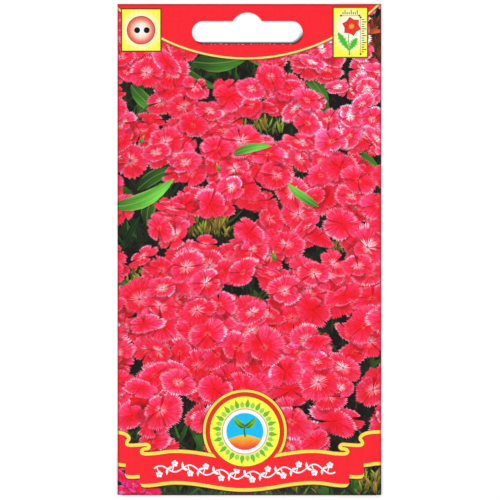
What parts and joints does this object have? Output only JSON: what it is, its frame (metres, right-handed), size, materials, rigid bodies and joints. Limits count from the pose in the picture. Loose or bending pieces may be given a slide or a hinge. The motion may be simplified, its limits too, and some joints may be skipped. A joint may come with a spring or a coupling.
{
  "type": "seed packet",
  "caption": "Flat sealed paper seed packet: a printed folded sheet with a glued side seam, bottom flap and closing band, a hang slot in its header and loose seeds inside.",
  "frame": {"origin": "under the middle of the packet, on the surface that its back lies on", "axes": "+X to the packet's right as its front is read, +Y up towards the header with the hang slot, +Z out of the printed front"},
  "size_m": [0.08, 0.149, 0.002],
  "materials": {
    "coated_paper": "glossy coated paper printed on its outer side, white and uncoated inside",
    "dried_glue": "thin dried film of packaging glue",
    "seed_coat": "dull, finely pitted dark seed coat"
  },
  "bodies": {
    "root": {"paper_blank": "coated_paper", "seam_glue": "dried_glue", "flap_glue": "dried_glue", "closing_glue": "dried_glue", "seed_bed": "seed_coat"}
  },
  "joints": []
}
